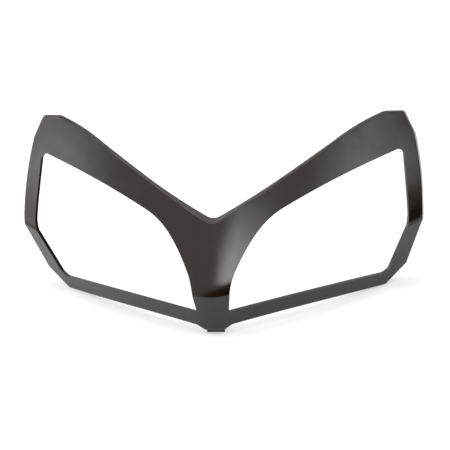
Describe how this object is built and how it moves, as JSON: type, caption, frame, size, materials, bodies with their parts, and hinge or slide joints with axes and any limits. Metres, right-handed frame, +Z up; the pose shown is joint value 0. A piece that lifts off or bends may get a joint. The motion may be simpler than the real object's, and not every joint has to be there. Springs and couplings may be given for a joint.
{
  "type": "headlight fairing",
  "caption": "V-shaped one-piece headlight surround with a swept lamp opening on each side of a creased nose, a bottom fixing tab and a screw boss behind each wing tip.",
  "frame": {"origin": "centre of the screw hole in the bottom fixing tab, at the tab's lower face, on the floor the part stands on", "axes": "+X to the right as seen from the front, +Y to the back, +Z up; the plane X = 0 is the plane of symmetry"},
  "size_m": [0.3814, 0.1762, 0.1564],
  "materials": {
    "gloss_black_plastic": "gloss black, moulded through"
  },
  "bodies": {
    "root": {"fairing": "gloss_black_plastic"}
  },
  "joints": []
}
